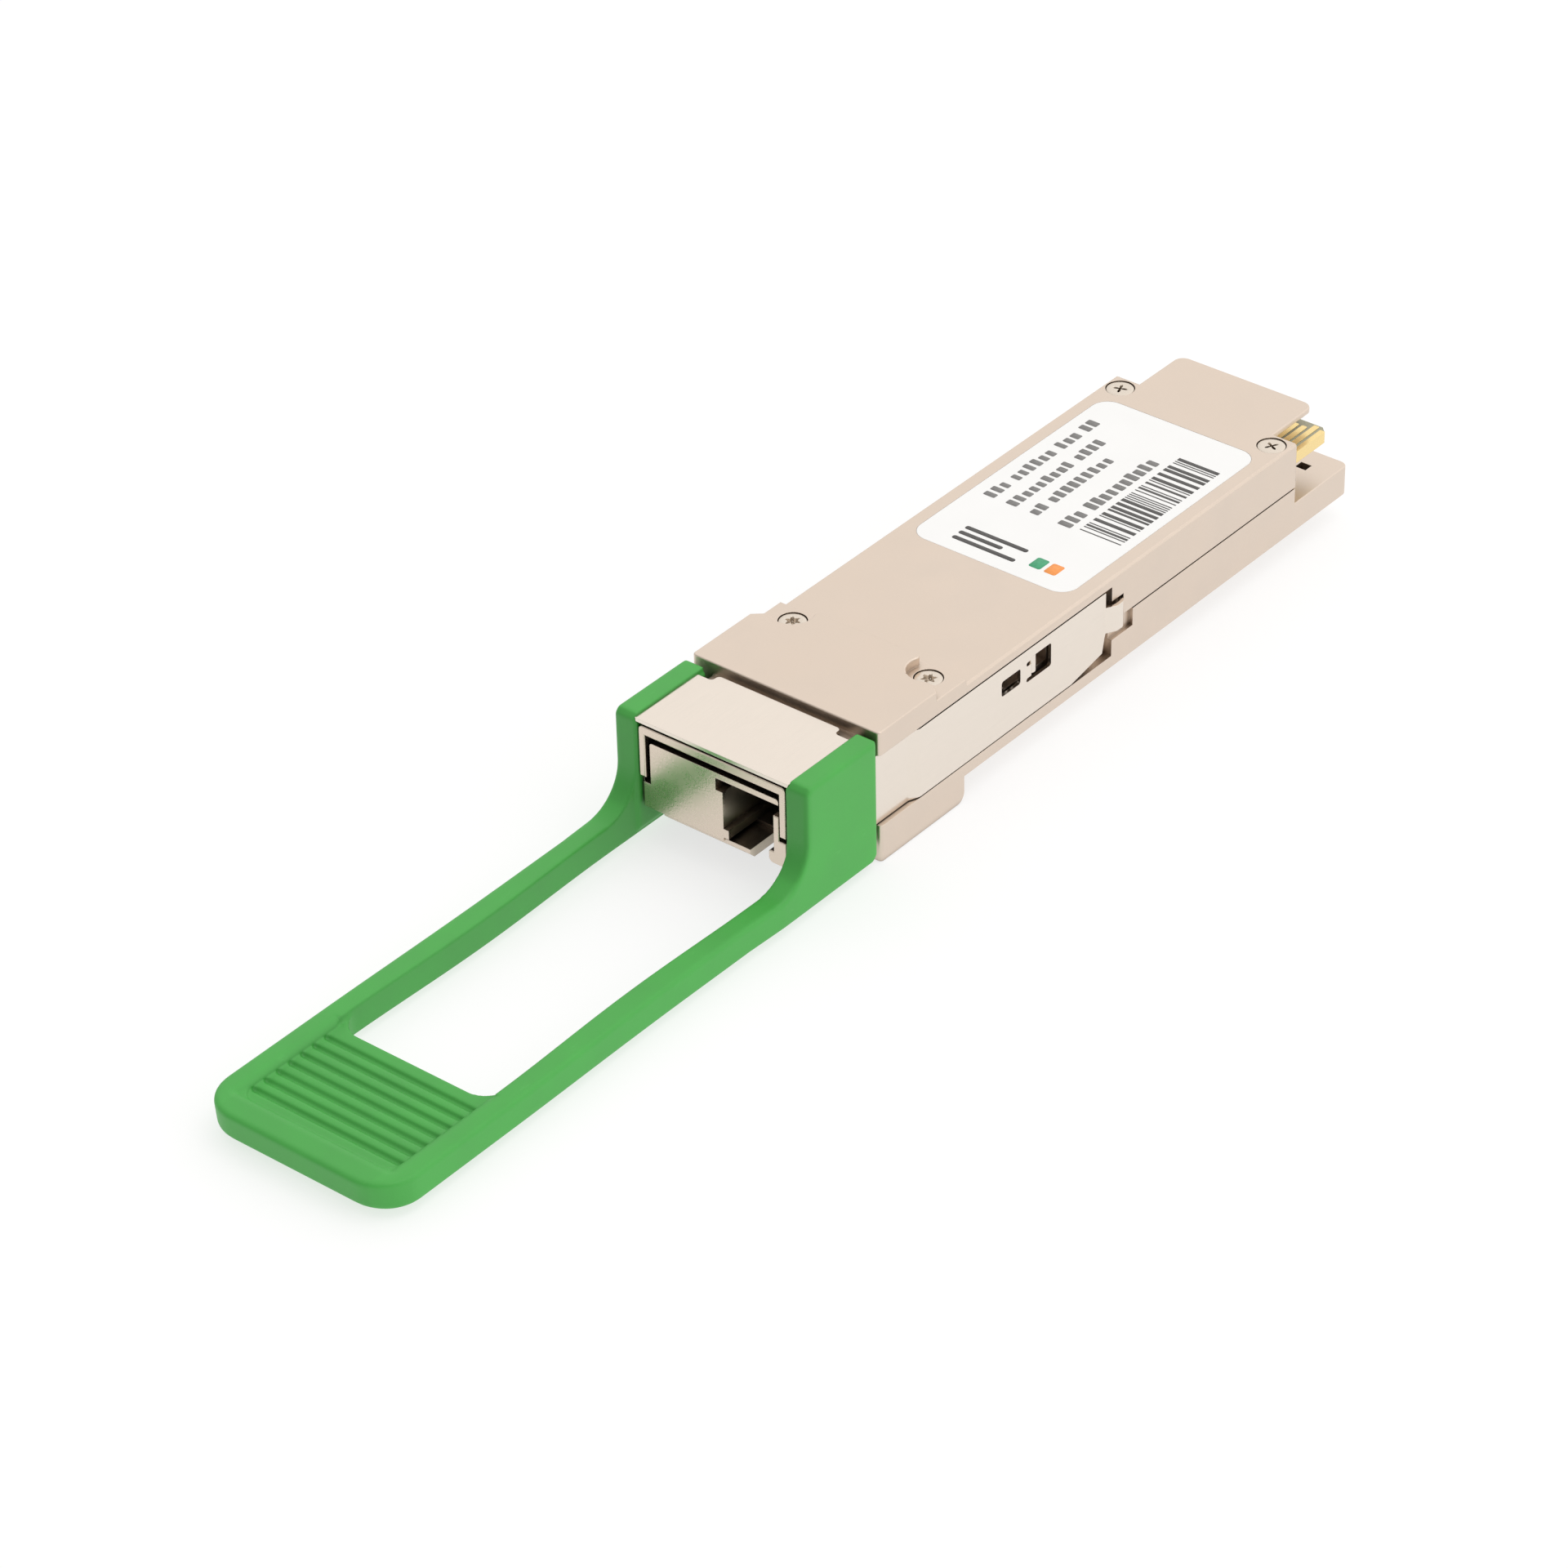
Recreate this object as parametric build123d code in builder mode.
from build123d import *
import os

os.makedirs("parts", exist_ok=True)

# Frame: x across the module, y from the mouth of the snout towards the card edge,
# z up from the underside of the body.

# Cutters run this far past the faces that they open; sharp edges are broken by these
over = 1
edge_break = 0.12
fine_break = 0.06

# Body shells
body_half_w = 9.175
body_top_z = 8.5
body_front_y = 8.92
body_rear_y = 64.43
seam_z = 4.35
seam_groove_h = 0.14
seam_groove_d = 0.25
floor_t = 1.0
ceiling_z = 7.6
corner_r = 0.35
edge_chamfer = 0.18

# Raised nose of the top shell
nose_top_z = 9.77
nose_side_rear_y = 16.05
nose_corner_x = 8.35
nose_corner_y = 16.75
nose_mid_rear_y = 19.4
nose_mid_half_w = 5.6
nose_r = 0.35
nose_notch_r = 1.75
boss_top_z = 8.95
boss_rear_y = 19.8

# Snout: hood of the top shell and port block of the bottom shell
hood_half_w = 7.17
hood_top_z = 8.75
hood_wall = 0.6
hood_leg_z = 4.1
hood_r = 0.4
hood_chamfer = 0.3
block_r = 0.25
snout_break = 0.1
block_front_y = 0.25
block_rear_y = 10.5
block_half_w = 6.3
block_top_z = 7.25
block_low_z = 1.2
rail_half_w = 7.0
rail_top_z = 3.45
front_plate_t = 1.5

# Port in the block
port_lo_x = 0.85
port_hi_x = 5.75
port_step_z = 5.65
port_top_z = 6.75
port_wide_lo_x = 0.18
port_depth_y = 9.0
lip_z = 2.3
lip_t = 0.8
lip_reach = 0.5
hook_r = 0.2
hook_heel_r = 0.45
floor_slot_lo_x = 3.2
floor_slot_rear_y = 3.7
keel_lo_x = -5.3
keel_front_y = 0.55
keel_low_z = 0.3
keel_chamfer = 0.5

# Rear end
tongue_half_w = 6.77
tongue_end_y = 70.42
tongue_t = 0.42
tongue_r = 0.95
tray_end_y = 72.4
tray_top_z = 2.73
tray_r = 0.75
card_slot_half_w = 6.55
tray_pocket_x = 6.36
tray_pocket_y = 69.8
tray_pocket_w = 1.05
tray_pocket_l = 0.9
tray_pocket_d = 1.4

# Foot under the nose
foot_front_y = 9.05
foot_rear_y = 19.6
foot_low_z = -2.25
foot_r = 0.9
foot_front_r = 0.35

# Cavity steps
cavity_front_half_w = 6.57
cavity_boss_half_w = 5.4
cavity_boss_y = 16.4
cavity_mid_y = 20.2
cavity_mid_half_w = 6.6
cavity_wide_y = 32.9
cavity_wide_half_w = 7.4
cavity_end_y = 61.0
hood_inner_z = 7.75

# Latch recess in both flanks
recess_floor_x = 8.35
recess_rear_y = 38.85
recess_top_z = 7.65
recess_low_z = 1.12
tab_pocket_x = 8.8
tab_pocket_rear_y = 41.7
tab_pocket_top_rear_y = 40.4
tab_pocket_low_z = 2.6
tab_pocket_top_z = 6.3

# Return springs
spring_x = 7.7
spring_z = 5.6
spring_front_y = 20.0
spring_len = 8.28
spring_coil_r = 0.62
spring_wire_r = 0.11
spring_turns = 11
channel_in_x = 6.9
channel_h = 1.6
channel_rear_y = 31.2
channel_tall_y = 25.6
channel_tall_low_z = 4.55
channel_tall_top_z = 6.9

# Screws
front_screw_x = 6.7
front_screw_y = 18.25
rear_screw_x = 7.65
rear_screw_y = 63.0
head_r = 1.12
head_seat_r = 1.2
rear_seat_r = 1.25
rear_head_r = 1.17
seat_d = 0.45
head_t = 0.4
shank_r = 0.6
shank_clear_r = 0.7
thread_hole_r = 0.62
shank_tip_z = 1.7
thread_floor_z = 1.4
drive_arm = 1.25
drive_w = 0.32
drive_d = 0.25

# Label
label_w = 15.6
label_l = 26.4
label_mid_y = 47.7
label_t = 0.08
label_r = 1.6
label_gap = 0.05
fit_gap = 0.05

# Latch slider, bent from one sheet
sheet_t = 0.3
bend_r = 0.55
plate_top_z = 9.27
plate_half_w = 7.52
plate_rear_y = 8.3
plate_notch_x = 6.0
plate_notch_y = 7.5
plate_notch_r = 0.35
plate_corner = 0.15
flange_front_y = 0.6
flange_low_z = 1.2
jog_front_y = 5.9
jog_rear_y = 7.6
arm_front_out_x = 8.75
bend_front_y = 13.0
bend_rear_y = 14.0
arm_out_x = 9.15
arm_top_z = 7.48
arm_low_z = 1.2
arm_rear_y = 38.0
arm_cut_front_y = 33.5
arm_cut_rear_y = 37.6
arm_cut_rear_z = 2.0
tab_out_x = 9.68
tab_mid_y = 38.9
tab_rear_y = 39.75
tab_curl_x = 9.0
tab_curl_y = 40.15
tab_low_z = 3.7
tab_top_z = 6.1
window_a_lo_y = 24.35
window_a_hi_y = 26.8
window_a_lo_z = 4.85
window_a_hi_z = 6.25
window_b_lo_y = 28.2
window_b_hi_y = 30.8
window_b_lo_z = 4.5
window_b_hi_z = 6.6
window_r = 0.25
relief_lo_y = 27.7
relief_h = 0.38
relief_top_z = 6.35
seat_in_x = 7.3
seat_y = 28.45
tongue_mid_y = 28.8
tongue_rear_x = 8.45
tongue_rear_y = 29.45
seat_r = 0.2
seat_low_z = 4.95
seat_top_z = 6.75

# Pull tab
grip_out_x = 9.35
cheek_in_x = 7.26
cheek_front_y = -0.12
cheek_rear_y = 8.35
cheek_top_z = 9.5
cheek_r = 0.45
strap_in_x = 7.5
strap_top_z = 1.0
strap_low_z = -1.45
strap_blend_r = 3.7
heel_chamfer = 0.5
soft_edge = 0.35
grip_end_y = -47.3
grip_corner_r = 3.4
window_edge_y = -34.3
panel_corner_r = 1.2
web_r = 2.2
panel_z = 0.5
valley_z = 0.18
panel_half_w = 7.3
panel_front_y = -44.7
rib_first_y = -35.7
rib_count = 8
rib_pitch = 1.286
groove_r = 0.27

# Board
board_top_z = 6.62
board_t = 1.0
board_front_y = 25.5
board_front_half_w = 6.4
board_wide_y = 33.3
board_mid_half_w = 7.2
board_neck_y = 60.6
board_head_y = 64.75
board_head_half_w = 8.17
board_end_y = 70.5
board_corner = 0.5
post_r = 0.7
post_x = 6.2
post_front_y = 36.0
post_rear_y = 58.0

# Contacts
contact_count = 19
ground_every = 3
contact_pitch = 0.8
contact_w = 0.54
contact_t = 0.04
contact_r = 0.15
contact_front_y = 66.2
contact_short_y = 69.75
contact_long_y = 70.35
plating_w = 0.42
plating_front_y = 65.0

# Electronics
dsp_w = 10.0
dsp_l = 9.0
dsp_h = 0.75
dsp_y = 47.5
mcu_w = 5.0
mcu_h = 0.8
mcu_y = 44.0
driver_w = 3.0
driver_h = 0.55
driver_x = 3.0
driver_y = 36.2
regulator_w = 3.5
regulator_h = 0.8
regulator_x = -3.6
regulator_y = 36.6
inductor_w = 2.5
inductor_h = 1.4
inductor_y = 54.5
inductor_pitch = 3.8
inductor_count = 3
crystal_w = 2.5
crystal_l = 2.0
crystal_h = 0.7
crystal_y = 38.6
chip_cap_w = 0.5
chip_cap_l = 1.0
chip_cap_h = 0.4
chip_cap_pitch = 1.5
chip_cap_count = 7

# Optical train
axis_x = 3.3
axis_z = 4.5
barrel_r = 1.5
barrel_front_y = 4.6
barrel_bore_r = 0.84
barrel_bore_rear_y = 10.2
flange_r = 2.1
flange_rear_y = 11.4
neck_r = 1.7
neck_rear_y = 13.0
block_bore_r = 1.56
sleeve_r = 0.82
sleeve_bore_r = 0.635
sleeve_front_y = 5.1
sleeve_rear_y = 10.0
stub_r = 0.625
stub_front_y = 7.9
stub_rear_y = 10.15
clamp_t = 0.5
clamp_half_w = 2.55
clamp_low_z = 1.05
clamp_top_z = 7.4
combiner_w = 4.0
combiner_rear_y = 18.0
tx_w = 4.1
tx_rear_y = 23.6
tx_h = 4.2
rx_can_r = 2.2
rx_can_y = 15.5
rx_header_r = 1.9
rx_cap_x = -2.4
rx_end_x = -3.2
flex_t = 0.12
flex_rear_y = 28.4
flex_w = 3.6
rx_flex_lo_x = -5.3
tx_pad_t = 0.3

thread_axes = ((front_screw_x, front_screw_y), (rear_screw_x, rear_screw_y))


def span(lo_x, hi_x, lo_y, hi_y, lo_z, hi_z, mode=Mode.ADD):
    """One box given by its six limits, in whichever builder is open."""
    with Locations(((lo_x + hi_x) / 2, (lo_y + hi_y) / 2, (lo_z + hi_z) / 2)):
        Box(hi_x - lo_x, hi_y - lo_y, hi_z - lo_z, mode=mode)


def both_sides(lo_x, hi_x, lo_y, hi_y, lo_z, hi_z, mode=Mode.ADD):
    """The same box on the right flank and, mirrored, on the left."""
    span(lo_x, hi_x, lo_y, hi_y, lo_z, hi_z, mode)
    span(-hi_x, -lo_x, lo_y, hi_y, lo_z, hi_z, mode)


def column(x, y, radius, lo_z, hi_z, mode=Mode.ADD):
    """One upright cylinder between two heights."""
    with Locations((x, y, (lo_z + hi_z) / 2)):
        Cylinder(radius, hi_z - lo_z, mode=mode)


def rod(radius, lo_y, hi_y, mode=Mode.ADD):
    """One cylinder on the optical axis between two stations."""
    with Locations((axis_x, (lo_y + hi_y) / 2, axis_z)):
        Cylinder(radius, hi_y - lo_y, rotation=(90, 0, 0), mode=mode)


def cavity(lo_z, hi_z):
    """The stepped hollow shared by the two shells."""
    span(-cavity_boss_half_w, cavity_boss_half_w, block_rear_y, cavity_end_y, lo_z, hi_z, Mode.SUBTRACT)
    span(-cavity_front_half_w, cavity_front_half_w, block_rear_y, cavity_boss_y, lo_z, hi_z, Mode.SUBTRACT)
    span(-cavity_mid_half_w, cavity_mid_half_w, cavity_mid_y, cavity_end_y, lo_z, hi_z, Mode.SUBTRACT)
    span(-cavity_wide_half_w, cavity_wide_half_w, cavity_wide_y, cavity_end_y, lo_z, hi_z, Mode.SUBTRACT)


# Top shell
with BuildPart() as top_shell:
    with BuildSketch(Plane.XY.offset(seam_z)) as body:
        with Locations((0, (body_front_y + body_rear_y) / 2)):
            Rectangle(2 * body_half_w, body_rear_y - body_front_y)
        fillet(body.vertices().group_by(Axis.Y)[0], corner_r)
    extrude(amount=body_top_z - seam_z)
    chamfer(top_shell.edges().group_by(Axis.Z)[-1].filter_by(Axis.Y), edge_chamfer)
    with BuildSketch(Plane.XY.offset(seam_z)) as boss:
        with Locations((0, (body_front_y + boss_rear_y) / 2)):
            Rectangle(2 * body_half_w, boss_rear_y - body_front_y)
        fillet(boss.vertices().group_by(Axis.Y)[0], corner_r)
    extrude(amount=boss_top_z - seam_z)
    fillet(top_shell.edges().group_by(Axis.Z)[-1], edge_break)
    with BuildSketch(Plane.XY.offset(seam_z)) as nose:
        with BuildLine():
            Polyline(
                (body_half_w, body_front_y),
                (body_half_w, nose_side_rear_y),
                (nose_corner_x, nose_corner_y),
                (-nose_corner_x, nose_corner_y),
                (-body_half_w, nose_side_rear_y),
                (-body_half_w, body_front_y),
                close=True,
            )
        make_face()
        with Locations((0, (body_front_y + nose_mid_rear_y) / 2)):
            Rectangle(2 * nose_mid_half_w, nose_mid_rear_y - body_front_y)
        with Locations((front_screw_x, front_screw_y), (-front_screw_x, front_screw_y)):
            Circle(nose_notch_r, mode=Mode.SUBTRACT)
        fillet(nose.vertices().group_by(Axis.Y)[0], corner_r)
        fillet(nose.vertices().group_by(Axis.Y)[-1], nose_r)
    extrude(amount=nose_top_z - seam_z)
    fillet(top_shell.edges().group_by(Axis.Z)[-1], edge_break)
    with BuildSketch(Plane.XY.offset(body_top_z - tongue_t)) as tongue:
        with Locations((0, (cavity_end_y + tongue_end_y) / 2)):
            Rectangle(2 * tongue_half_w, tongue_end_y - cavity_end_y)
        fillet(tongue.vertices().group_by(Axis.Y)[-1], tongue_r)
    extrude(amount=tongue_t)
    fillet(top_shell.edges().filter_by_position(Axis.Y, body_rear_y + over, tray_end_y).filter_by_position(
        Axis.Z, body_top_z - fine_break, body_top_z + fine_break), edge_break)
    with BuildSketch(Plane.XZ) as hood:
        with Locations((0, (hood_leg_z + hood_top_z) / 2)):
            Rectangle(2 * hood_half_w, hood_top_z - hood_leg_z)
        fillet(hood.vertices().group_by(Axis.Y)[-1], hood_r)
    extrude(amount=-body_front_y)
    cavity(seam_z, ceiling_z)
    hood_in = hood_half_w - hood_wall
    span(-hood_in, hood_in, 0, cavity_boss_y, 0, hood_inner_z, Mode.SUBTRACT)
    hood_edges = top_shell.edges().group_by(Axis.Y)[0].filter_by(Axis.X)
    chamfer(hood_edges.filter_by_position(Axis.Z, hood_inner_z - fine_break, hood_inner_z + fine_break),
            hood_chamfer)
    fillet(top_shell.faces().sort_by(Axis.Y)[0].edges(), snout_break)
    both_sides(recess_floor_x, body_half_w + over, 0, recess_rear_y, seam_z, recess_top_z, Mode.SUBTRACT)
    both_sides(tab_pocket_x, body_half_w + over, recess_rear_y - over, tab_pocket_top_rear_y,
               seam_z, tab_pocket_top_z, Mode.SUBTRACT)
    both_sides(channel_in_x, recess_floor_x + over, spring_front_y, channel_rear_y,
               spring_z - channel_h / 2, spring_z + channel_h / 2, Mode.SUBTRACT)
    both_sides(channel_in_x, recess_floor_x + over, channel_tall_y, channel_rear_y,
               channel_tall_low_z, channel_tall_top_z, Mode.SUBTRACT)
    span(-card_slot_half_w, card_slot_half_w, cavity_end_y - over, body_rear_y + over,
         seam_z, board_top_z + fit_gap, Mode.SUBTRACT)
    for side in (-1, 1):
        column(side * front_screw_x, front_screw_y, head_seat_r, boss_top_z - seat_d, boss_top_z,
               Mode.SUBTRACT)
        column(side * rear_screw_x, rear_screw_y, rear_seat_r, body_top_z - seat_d, body_top_z,
               Mode.SUBTRACT)
        column(side * front_screw_x, front_screw_y, shank_clear_r, seam_z, boss_top_z, Mode.SUBTRACT)
        column(side * rear_screw_x, rear_screw_y, shank_clear_r, seam_z, body_top_z, Mode.SUBTRACT)
    with BuildSketch(Plane.XY.offset(body_top_z - label_t)):
        with Locations((0, label_mid_y)):
            RectangleRounded(label_w + 2 * label_gap, label_l + 2 * label_gap, label_r)
    extrude(amount=label_t, mode=Mode.SUBTRACT)
top_shell.part.label = "top_shell"
export_step(top_shell.part, "parts/top_shell.step")

# Bottom shell
with BuildPart() as bottom_shell:
    with BuildSketch(Plane.XY) as tray:
        with Locations((0, (foot_front_y + tray_end_y) / 2)):
            Rectangle(2 * body_half_w, tray_end_y - foot_front_y)
        fillet(tray.vertices().group_by(Axis.Y)[-1], tray_r)
        fillet(tray.vertices().group_by(Axis.Y)[0], foot_front_r)
    extrude(amount=tray_top_z)
    fillet(bottom_shell.edges().group_by(Axis.Z)[0], edge_break)
    fillet(bottom_shell.edges().group_by(Axis.Z)[-1], edge_break)
    with BuildSketch(Plane.XY.offset(foot_low_z)) as foot:
        with Locations((0, (foot_front_y + foot_rear_y) / 2)):
            Rectangle(2 * body_half_w, foot_rear_y - foot_front_y)
        fillet(foot.vertices().group_by(Axis.Y)[0], foot_front_r)
    extrude(amount=seam_z - foot_low_z)
    foot_edges = bottom_shell.edges().group_by(Axis.Z)[0]
    fillet(foot_edges.filter_by(Axis.X).sort_by(Axis.Y)[-1], foot_r)
    fillet(bottom_shell.edges().group_by(Axis.Z)[0], edge_break)
    span(-body_half_w, body_half_w, foot_rear_y - over, body_rear_y, tray_top_z - over, seam_z)
    with BuildSketch(Plane.XZ.offset(-block_front_y)) as block:
        with Locations((0, (block_low_z + block_top_z) / 2)):
            Rectangle(2 * block_half_w, block_top_z - block_low_z)
        fillet(block.vertices().group_by(Axis.Y)[-1], block_r)
    extrude(amount=block_front_y - block_rear_y)
    span(-rail_half_w, rail_half_w, block_front_y, body_front_y, block_low_z, rail_top_z)
    cavity(floor_t, seam_z)
    span(keel_lo_x, floor_slot_lo_x, keel_front_y, body_front_y + over, keel_low_z, block_low_z)
    keel_edges = bottom_shell.edges().filter_by(Axis.X).filter_by_position(Axis.Z, 0, keel_low_z + fine_break)
    chamfer(keel_edges.sort_by(Axis.Y)[0], keel_chamfer)
    span(-card_slot_half_w + fit_gap, card_slot_half_w - fit_gap, cavity_end_y + fit_gap, body_rear_y,
         seam_z, board_top_z - board_t)
    # Port, its wide top and the slot through its floor
    span(port_lo_x, port_hi_x, 0, port_depth_y, lip_z, port_step_z, Mode.SUBTRACT)
    span(port_wide_lo_x, block_half_w + over, 0, port_depth_y, port_step_z, port_top_z, Mode.SUBTRACT)
    span(port_lo_x + lip_reach, port_hi_x - lip_reach, 0, port_depth_y, lip_z - lip_t, lip_z, Mode.SUBTRACT)
    span(port_lo_x, floor_slot_lo_x, 0, floor_slot_rear_y, block_low_z, lip_z - lip_t, Mode.SUBTRACT)
    span(floor_slot_lo_x, port_hi_x - lip_reach, 0, floor_slot_rear_y, 0, lip_z, Mode.SUBTRACT)
    # Rounded hook at the foot of the right post: its heel first, then its tip
    hook_x = port_hi_x - lip_reach
    hook_edges = bottom_shell.edges().filter_by(Axis.Y).filter_by_position(
        Axis.X, hook_x - fine_break, hook_x + fine_break)
    fillet(hook_edges.filter_by_position(Axis.Y, 0, floor_slot_rear_y).sort_by(Axis.Z)[0], hook_heel_r)
    hook_edges = bottom_shell.edges().filter_by(Axis.Y).filter_by_position(
        Axis.X, hook_x - fine_break, hook_x + fine_break)
    fillet(hook_edges.filter_by_position(Axis.Z, lip_z - fine_break, lip_z + fine_break), hook_r)
    # Hollow behind the blank half of the front plate
    blank_hi_x = port_wide_lo_x - front_plate_t
    span(-block_half_w + front_plate_t, blank_hi_x, block_front_y + front_plate_t, block_rear_y,
         block_low_z + front_plate_t, block_top_z - front_plate_t / 2, Mode.SUBTRACT)
    rod(block_bore_r, port_depth_y - over, block_rear_y, Mode.SUBTRACT)
    fillet(bottom_shell.faces().sort_by(Axis.Y)[0].edges(), snout_break)
    both_sides(recess_floor_x, body_half_w + over, 0, recess_rear_y, recess_low_z, seam_z, Mode.SUBTRACT)
    both_sides(tab_pocket_x, body_half_w + over, recess_rear_y - over, tab_pocket_rear_y,
               tab_pocket_low_z, seam_z, Mode.SUBTRACT)
    both_sides(body_half_w - seam_groove_d, body_half_w + over, tab_pocket_rear_y - over, body_rear_y + over,
               seam_z - seam_groove_h, seam_z, Mode.SUBTRACT)
    with BuildSketch(Plane.XY.offset(tray_top_z - tray_pocket_d)):
        with Locations((tray_pocket_x, tray_pocket_y)):
            Rectangle(tray_pocket_w, tray_pocket_l)
    extrude(amount=tray_pocket_d, mode=Mode.SUBTRACT)
    for side in (-1, 1):
        for thread_x, thread_y in thread_axes:
            column(side * thread_x, thread_y, thread_hole_r, thread_floor_z, seam_z, Mode.SUBTRACT)
        for post_y in (post_front_y, post_rear_y):
            column(side * post_x, post_y, post_r, floor_t, board_top_z - board_t)
bottom_shell.part.label = "bottom_shell"
export_step(bottom_shell.part, "parts/bottom_shell.step")

# Latch slider: a plate over the hood, and an arm down each flank
with BuildPart() as latch_slider:
    with BuildSketch(Plane.XY.offset(plate_top_z - sheet_t)) as plate:
        with Locations((0, plate_rear_y / 2)):
            Rectangle(2 * plate_half_w, plate_rear_y)
        for side in (-1, 1):
            with Locations((side * (plate_notch_x + plate_half_w) / 2, plate_rear_y)):
                Rectangle(plate_half_w - plate_notch_x, 2 * (plate_rear_y - plate_notch_y),
                          mode=Mode.SUBTRACT)
        notch_limit_x = plate_notch_x + fine_break
        notch_corners = plate.vertices().filter_by_position(Axis.Y, plate_notch_y - fine_break, plate_rear_y)
        fillet(notch_corners.filter_by_position(Axis.X, -notch_limit_x, notch_limit_x), plate_notch_r)
        fillet(plate.vertices().group_by(Axis.Y)[0], plate_corner)
    extrude(amount=sheet_t)
    for side in (-1, 1):
        with BuildSketch(Plane.XY.offset(flange_low_z)):
            with BuildLine():
                FilletPolyline(
                    (side * (plate_half_w - sheet_t / 2), flange_front_y),
                    (side * (plate_half_w - sheet_t / 2), jog_front_y),
                    (side * (arm_front_out_x - sheet_t / 2), jog_rear_y),
                    (side * (arm_front_out_x - sheet_t / 2), bend_front_y),
                    (side * (arm_out_x - sheet_t / 2), bend_rear_y),
                    (side * (arm_out_x - sheet_t / 2), arm_rear_y),
                    (side * (tab_out_x - sheet_t / 2), tab_mid_y),
                    (side * (tab_out_x - sheet_t / 2), tab_rear_y),
                    (side * tab_curl_x, tab_curl_y),
                    radius=bend_r,
                )
            trace(line_width=sheet_t)
        extrude(amount=arm_top_z - flange_low_z)
    # Flange rises to the plate, ahead of the notch only
    both_sides(plate_half_w - sheet_t, plate_half_w, flange_front_y, jog_front_y,
               arm_top_z - over, plate_top_z)
    # Tab keeps only its middle height
    both_sides(arm_out_x - sheet_t, tab_out_x + over, arm_rear_y, tab_curl_y + over,
               flange_low_z - over, tab_low_z, Mode.SUBTRACT)
    both_sides(arm_out_x - sheet_t, tab_out_x + over, arm_rear_y, tab_curl_y + over,
               tab_top_z, arm_top_z + over, Mode.SUBTRACT)
    # Diagonal rear lower corner and the two windows, through both arms
    with BuildSketch(Plane.YZ.offset(-body_half_w - over)) as arm_cuts:
        with BuildLine():
            Polyline(
                (arm_cut_front_y, arm_low_z),
                (arm_cut_rear_y, arm_cut_rear_z),
                (arm_rear_y, tab_low_z),
                (arm_rear_y + over, tab_low_z),
                (arm_rear_y + over, arm_low_z),
                close=True,
            )
        make_face()
        with Locations(((window_a_lo_y + window_a_hi_y) / 2, (window_a_lo_z + window_a_hi_z) / 2)):
            RectangleRounded(window_a_hi_y - window_a_lo_y, window_a_hi_z - window_a_lo_z, window_r)
        with Locations(((window_b_lo_y + window_b_hi_y) / 2, (window_b_lo_z + window_b_hi_z) / 2)):
            RectangleRounded(window_b_hi_y - window_b_lo_y, window_b_hi_z - window_b_lo_z, window_r)
        relief_mid_y = (relief_lo_y + window_b_lo_y + window_r) / 2
        relief_l = window_b_lo_y + window_r - relief_lo_y
        for relief_z in (window_b_lo_z + relief_h / 2, relief_top_z - relief_h / 2):
            with Locations((relief_mid_y, relief_z)):
                SlotOverall(relief_l + window_r, relief_h)
    extrude(amount=2 * (body_half_w + over), mode=Mode.SUBTRACT)
    # Tongue hung from the top edge of each rear window: a spring seat across, then a curl rearwards
    for side in (-1, 1):
        with BuildSketch(Plane.XY.offset(seat_low_z)):
            with BuildLine():
                FilletPolyline(
                    (side * seat_in_x, seat_y),
                    (side * (arm_out_x - sheet_t / 2 - fine_break), seat_y),
                    (side * (arm_out_x - sheet_t / 2 - fine_break), tongue_mid_y),
                    (side * tongue_rear_x, tongue_rear_y),
                    radius=seat_r,
                )
            trace(line_width=sheet_t)
        extrude(amount=seat_top_z - seat_low_z)
latch_slider.part.label = "latch_slider"
export_step(latch_slider.part, "parts/latch_slider.step")

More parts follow.
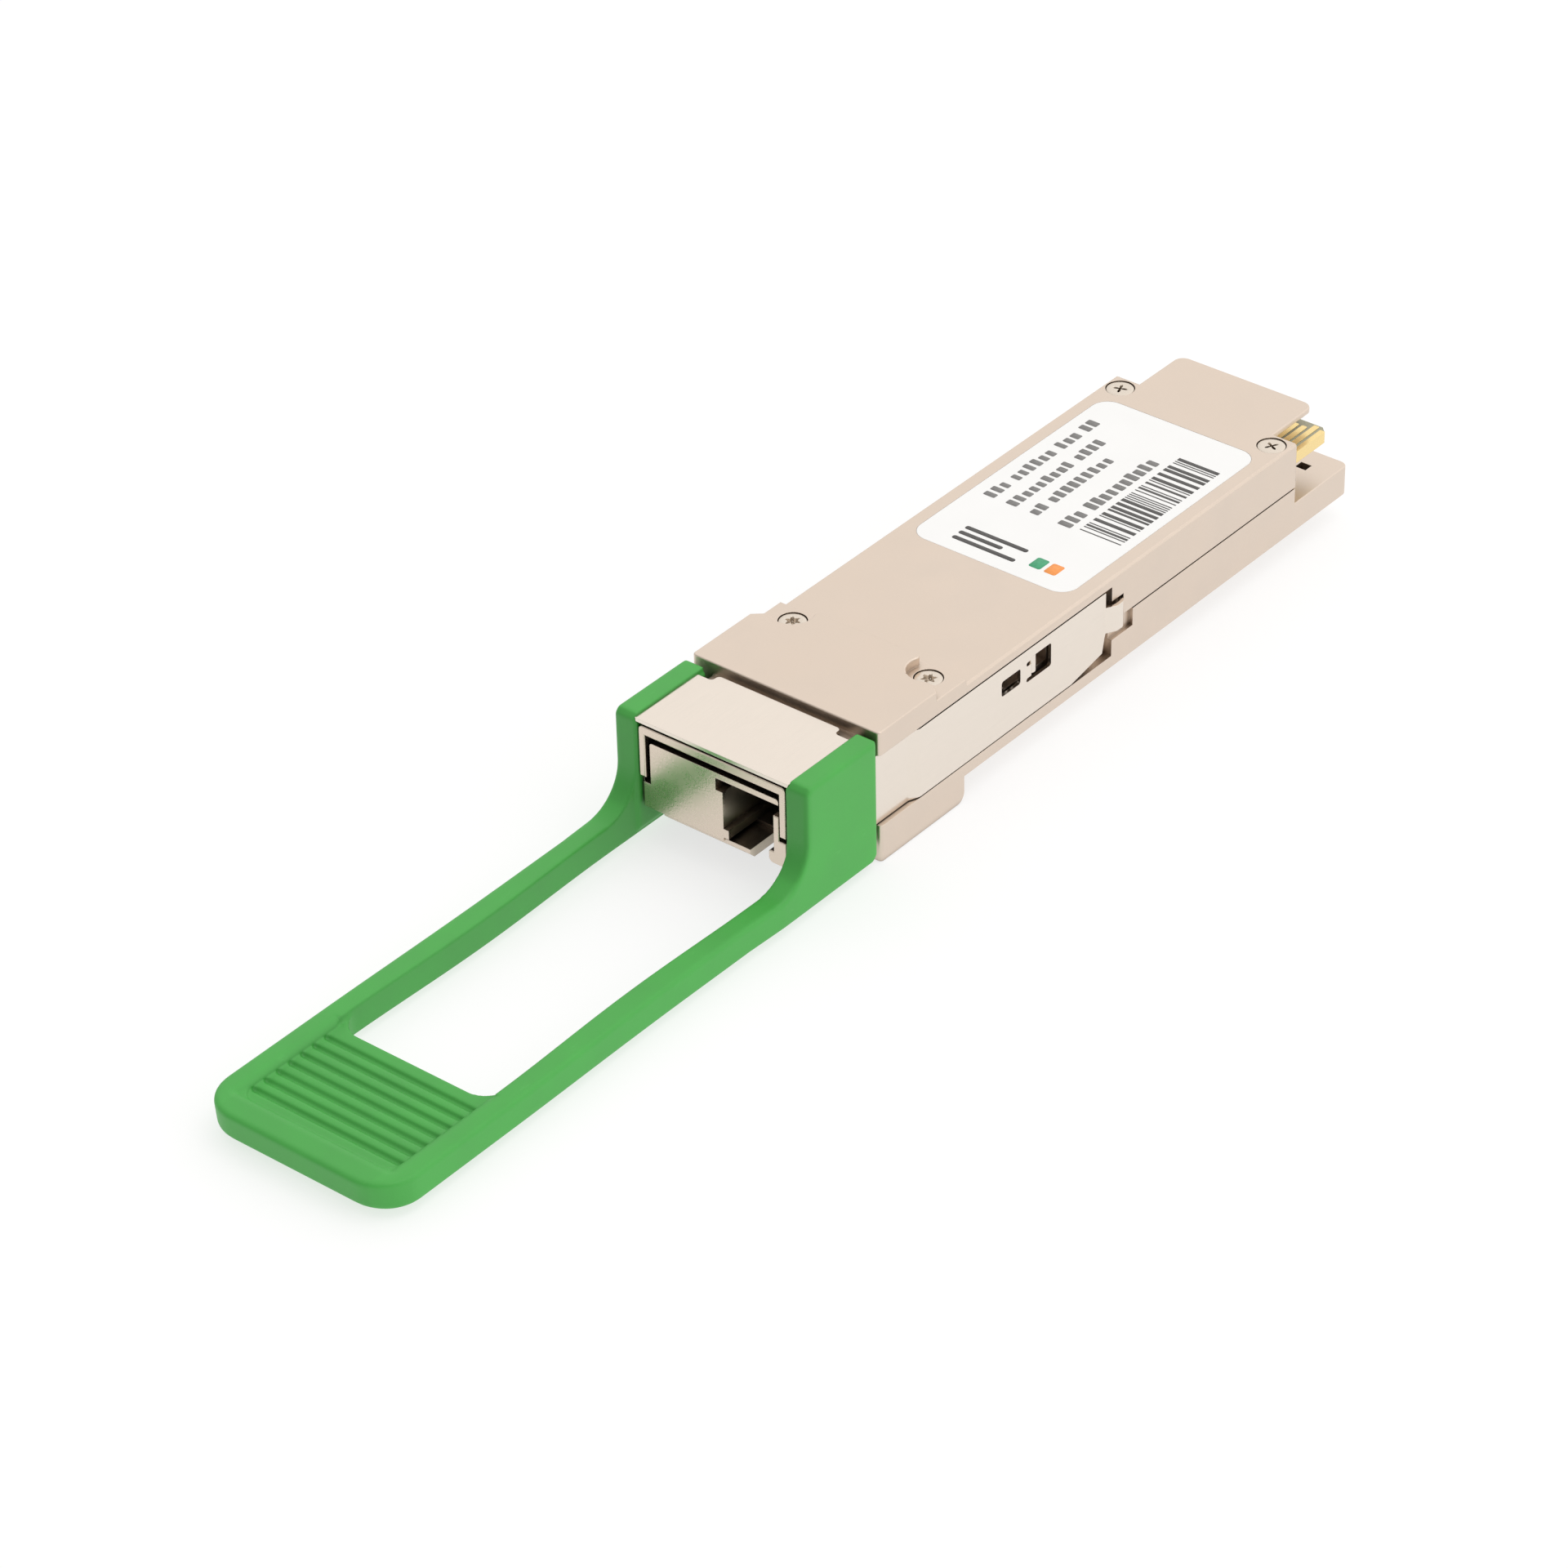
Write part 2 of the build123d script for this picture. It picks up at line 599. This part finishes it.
# Pull tab, moulded over the slider's flanges
with BuildPart() as pull_tab:
    for side in (-1, 1):
        with BuildSketch(Plane.YZ.offset(side * grip_out_x)) as strap:
            with BuildLine():
                blend_y = cheek_front_y - strap_blend_r
                blend_z = strap_top_z + strap_blend_r
                Polyline(
                    (blend_y, strap_top_z),
                    (window_edge_y, strap_top_z),
                    (window_edge_y, strap_low_z),
                    (cheek_rear_y - heel_chamfer, strap_low_z),
                    (cheek_rear_y, strap_low_z + heel_chamfer),
                    (cheek_rear_y, cheek_top_z),
                    (cheek_front_y + cheek_r, cheek_top_z),
                    (cheek_front_y, cheek_top_z - cheek_r),
                    (cheek_front_y, blend_z),
                )
                RadiusArc((cheek_front_y, blend_z), (blend_y, strap_top_z), strap_blend_r)
            make_face()
        extrude(amount=-side * (grip_out_x - strap_in_x))
    both_sides(cheek_in_x, strap_in_x, cheek_front_y, cheek_rear_y,
               strap_low_z + heel_chamfer, plate_top_z - sheet_t)
    # Grip: rounded slab, then its recessed panel
    with BuildSketch(Plane.XY.offset(strap_low_z)) as slab:
        with Locations((0, (grip_end_y + window_edge_y) / 2)):
            Rectangle(2 * grip_out_x, window_edge_y - grip_end_y)
        fillet(slab.vertices().group_by(Axis.Y)[0], grip_corner_r)
    extrude(amount=strap_top_z - strap_low_z)
    with BuildSketch(Plane.XY.offset(panel_z)) as panel:
        with Locations((0, (panel_front_y + window_edge_y) / 2)):
            Rectangle(2 * panel_half_w, window_edge_y - panel_front_y)
        fillet(panel.vertices().group_by(Axis.Y)[0], panel_corner_r)
    extrude(amount=strap_top_z - panel_z, mode=Mode.SUBTRACT)
    for rib in range(rib_count):
        with Locations((0, rib_first_y - rib * rib_pitch, valley_z + groove_r)):
            Cylinder(groove_r, 2 * panel_half_w, rotation=(0, 90, 0), mode=Mode.SUBTRACT)
    # Round webs in the two corners between the panel and the straps
    with BuildSketch(Plane.XY.offset(strap_low_z)):
        for side in (-1, 1):
            with Locations((side * (strap_in_x - web_r / 2), window_edge_y + web_r / 2)):
                Rectangle(web_r, web_r)
            with Locations((side * (strap_in_x - web_r), window_edge_y + web_r)):
                Circle(web_r, mode=Mode.SUBTRACT)
    extrude(amount=panel_z - strap_low_z)
    # Soft outer edges, then the pocket that the sheet sits in
    outline = pull_tab.edges().filter_by(lambda e: abs(e.center().X) > grip_out_x - fine_break)
    fillet(outline, soft_edge)
    add(latch_slider.part, mode=Mode.SUBTRACT)
pull_tab.part.label = "pull_tab"
export_step(pull_tab.part, "parts/pull_tab.step")

# Return springs
for side, spring_name in ((-1, "return_spring_left"), (1, "return_spring_right")):
    with BuildPart() as spring:
        coil_len = spring_len - 2 * spring_wire_r
        with BuildLine() as coil:
            Helix(coil_len / spring_turns, coil_len, spring_coil_r)
        with BuildSketch(Plane(origin=coil.line @ 0, z_dir=coil.line % 0)):
            Circle(spring_wire_r)
        sweep(is_frenet=True)
    spring_place = Location((side * spring_x, spring_front_y + spring_wire_r, spring_z), (-90, 0, 0))
    spring_part = spring_place * spring.part
    spring_part.label = spring_name
    export_step(spring_part, "parts/" + spring_name + ".step")


def screw_pair(x, y, seat_z, radius, blades):
    """Two machine screws, head up in their seats, with a star or cross drive."""
    with BuildPart() as pair:
        for side in (-1, 1):
            column(side * x, y, radius, seat_z, seat_z + head_t)
            column(side * x, y, shank_r, shank_tip_z, seat_z)
            for blade in range(blades):
                with Locations(Location((side * x, y, seat_z + head_t), (0, 0, blade * 180 / blades))):
                    Box(drive_arm, drive_w, 2 * drive_d, mode=Mode.SUBTRACT)
    return pair.part


front_screws = screw_pair(front_screw_x, front_screw_y, boss_top_z - seat_d, head_r, 3)
front_screws.label = "front_screws"
export_step(front_screws, "parts/front_screws.step")
rear_screws = screw_pair(rear_screw_x, rear_screw_y, body_top_z - seat_d, rear_head_r, 2)
rear_screws.label = "rear_screws"
export_step(rear_screws, "parts/rear_screws.step")

# Label
with BuildPart() as label:
    with BuildSketch(Plane.XY.offset(body_top_z - label_t)):
        with Locations((0, label_mid_y)):
            RectangleRounded(label_w, label_l, label_r)
    extrude(amount=label_t)
label.part.label = "label"
export_step(label.part, "parts/label.step")

# Main board: one board from the optics to the card edge
board_low_z = board_top_z - board_t
with BuildPart() as main_board:
    span(-board_front_half_w, board_front_half_w, board_front_y, board_head_y, board_low_z, board_top_z)
    span(-board_mid_half_w, board_mid_half_w, board_wide_y, board_neck_y, board_low_z, board_top_z)
    with BuildSketch(Plane.XY.offset(board_low_z)) as head:
        with Locations((0, (board_head_y + board_end_y) / 2)):
            Rectangle(2 * board_head_half_w, board_end_y - board_head_y)
        chamfer(head.vertices().group_by(Axis.Y)[-1], board_corner)
    extrude(amount=board_t)
main_board.part.label = "main_board"
export_step(main_board.part, "parts/main_board.step")


def contact_row(low_z):
    """One row of edge contacts, every third one longer for ground."""
    with BuildPart() as row:
        for index in range(contact_count):
            x = (index - (contact_count - 1) / 2) * contact_pitch
            rear_y = contact_long_y if index % ground_every == 0 else contact_short_y
            with BuildSketch(Plane.XY.offset(low_z)):
                with Locations((x, (contact_front_y + rear_y) / 2)):
                    RectangleRounded(contact_w, rear_y - contact_front_y, contact_r)
        extrude(amount=contact_t)
    return row.part


contacts_top = contact_row(board_top_z)
contacts_top.label = "contacts_top"
export_step(contacts_top, "parts/contacts_top.step")
contacts_bottom = contact_row(board_low_z - contact_t)
contacts_bottom.label = "contacts_bottom"
export_step(contacts_bottom, "parts/contacts_bottom.step")

# Plating wrapped round the two side edges of the card
with BuildPart() as edge_plating:
    both_sides(board_head_half_w - plating_w, board_head_half_w + contact_t, plating_front_y,
               board_end_y - board_corner, board_low_z - contact_t, board_top_z + contact_t)
    both_sides(board_head_half_w - plating_w - over, board_head_half_w, plating_front_y - over, board_end_y,
               board_low_z, board_top_z, Mode.SUBTRACT)
edge_plating.part.label = "edge_plating"
export_step(edge_plating.part, "parts/edge_plating.step")

# Signal processor and the pad that carries its heat to the top shell
with BuildPart() as dsp_chip:
    span(-dsp_w / 2, dsp_w / 2, dsp_y - dsp_l / 2, dsp_y + dsp_l / 2, board_top_z, board_top_z + dsp_h)
dsp_chip.part.label = "dsp_chip"
export_step(dsp_chip.part, "parts/dsp_chip.step")

with BuildPart() as dsp_pad:
    span(-dsp_w / 2, dsp_w / 2, dsp_y - dsp_l / 2, dsp_y + dsp_l / 2, board_top_z + dsp_h, ceiling_z)
dsp_pad.part.label = "dsp_pad"
export_step(dsp_pad.part, "parts/dsp_pad.step")

with BuildPart() as microcontroller:
    span(-mcu_w / 2, mcu_w / 2, mcu_y - mcu_w / 2, mcu_y + mcu_w / 2, board_low_z - mcu_h, board_low_z)
microcontroller.part.label = "microcontroller"
export_step(microcontroller.part, "parts/microcontroller.step")

with BuildPart() as laser_driver:
    span(driver_x - driver_w / 2, driver_x + driver_w / 2, driver_y - driver_w / 2, driver_y + driver_w / 2,
         board_top_z, board_top_z + driver_h)
laser_driver.part.label = "laser_driver"
export_step(laser_driver.part, "parts/laser_driver.step")

with BuildPart() as regulator:
    span(regulator_x - regulator_w / 2, regulator_x + regulator_w / 2, regulator_y - regulator_w / 2,
         regulator_y + regulator_w / 2, board_top_z, board_top_z + regulator_h)
regulator.part.label = "regulator"
export_step(regulator.part, "parts/regulator.step")

with BuildPart() as inductors:
    with Locations((0, inductor_y, board_low_z - inductor_h / 2)):
        with GridLocations(inductor_pitch, inductor_pitch, inductor_count, 1):
            Box(inductor_w, inductor_w, inductor_h)
inductors.part.label = "inductors"
export_step(inductors.part, "parts/inductors.step")

with BuildPart() as crystal:
    with Locations((0, crystal_y, board_low_z - crystal_h / 2)):
        Box(crystal_w, crystal_l, crystal_h)
crystal.part.label = "crystal"
export_step(crystal.part, "parts/crystal.step")

with BuildPart() as chip_capacitors:
    capacitor_z = board_top_z + chip_cap_h / 2
    for bank_side in (-1, 1):
        with Locations((0, dsp_y + bank_side * (dsp_l / 2 + chip_cap_pitch), capacitor_z)):
            with GridLocations(chip_cap_pitch, chip_cap_pitch, chip_cap_count, 1):
                Box(chip_cap_w, chip_cap_l, chip_cap_h)
chip_capacitors.part.label = "chip_capacitors"
export_step(chip_capacitors.part, "parts/chip_capacitors.step")

# Receptacle: barrel, split sleeve and fibre stub on one axis
with BuildPart() as receptacle_barrel:
    rod(barrel_r, barrel_front_y, block_rear_y)
    rod(flange_r, block_rear_y, flange_rear_y)
    rod(neck_r, flange_rear_y, neck_rear_y)
    rod(barrel_bore_r, barrel_front_y, barrel_bore_rear_y, Mode.SUBTRACT)
receptacle_barrel.part.label = "receptacle_barrel"
export_step(receptacle_barrel.part, "parts/receptacle_barrel.step")

with BuildPart() as alignment_sleeve:
    rod(sleeve_r, sleeve_front_y, sleeve_rear_y)
    rod(sleeve_bore_r, sleeve_front_y, sleeve_rear_y, Mode.SUBTRACT)
alignment_sleeve.part.label = "alignment_sleeve"
export_step(alignment_sleeve.part, "parts/alignment_sleeve.step")

with BuildPart() as fibre_stub:
    rod(stub_r, stub_front_y, stub_rear_y)
fibre_stub.part.label = "fibre_stub"
export_step(fibre_stub.part, "parts/fibre_stub.step")

# Clamp plate behind the flange
with BuildPart() as receptacle_clamp:
    span(axis_x - clamp_half_w, axis_x + clamp_half_w, flange_rear_y, flange_rear_y + clamp_t,
         clamp_low_z, clamp_top_z)
    rod(neck_r + fit_gap, flange_rear_y, flange_rear_y + clamp_t, Mode.SUBTRACT)
receptacle_clamp.part.label = "receptacle_clamp"
export_step(receptacle_clamp.part, "parts/receptacle_clamp.step")

# Wavelength combiner, laser package and receiver can
half_combiner = combiner_w / 2
with BuildPart() as combiner_housing:
    span(axis_x - half_combiner, axis_x + half_combiner, neck_rear_y, combiner_rear_y,
         axis_z - half_combiner, axis_z + half_combiner)
combiner_housing.part.label = "combiner_housing"
export_step(combiner_housing.part, "parts/combiner_housing.step")

with BuildPart() as laser_package:
    span(axis_x - tx_w / 2, axis_x + tx_w / 2, combiner_rear_y, tx_rear_y,
         axis_z - tx_h / 2, axis_z + tx_h / 2)
laser_package.part.label = "laser_package"
export_step(laser_package.part, "parts/laser_package.step")

with BuildPart() as laser_pad:
    span(axis_x - tx_w / 2, axis_x + tx_w / 2, combiner_rear_y + over, tx_rear_y, axis_z + tx_h / 2,
         axis_z + tx_h / 2 + tx_pad_t)
laser_pad.part.label = "laser_pad"
export_step(laser_pad.part, "parts/laser_pad.step")

with BuildPart() as receiver_can:
    with Locations(((axis_x - half_combiner + rx_cap_x) / 2, rx_can_y, axis_z)):
        Cylinder(rx_header_r, axis_x - half_combiner - rx_cap_x, rotation=(0, 90, 0))
    with Locations(((rx_cap_x + rx_end_x) / 2, rx_can_y, axis_z)):
        Cylinder(rx_can_r, rx_cap_x - rx_end_x, rotation=(0, 90, 0))
receiver_can.part.label = "receiver_can"
export_step(receiver_can.part, "parts/receiver_can.step")

# Flexible circuits to the underside of the board
with BuildPart() as laser_flex:
    span(axis_x - flex_w / 2, axis_x + flex_w / 2, tx_rear_y, flex_rear_y, board_low_z - flex_t, board_low_z)
laser_flex.part.label = "laser_flex"
export_step(laser_flex.part, "parts/laser_flex.step")

with BuildPart() as receiver_flex:
    span(rx_end_x - flex_t, rx_end_x, rx_can_y - flex_w / 2, rx_can_y + flex_w / 2,
         axis_z - flex_w / 2, board_low_z)
    span(rx_flex_lo_x, rx_end_x, rx_can_y + rx_can_r, flex_rear_y, board_low_z - flex_t, board_low_z)
    span(rx_flex_lo_x, rx_end_x - flex_t / 2, rx_can_y - flex_w / 2, rx_can_y + rx_can_r,
         board_low_z - flex_t, board_low_z)
receiver_flex.part.label = "receiver_flex"
export_step(receiver_flex.part, "parts/receiver_flex.step")
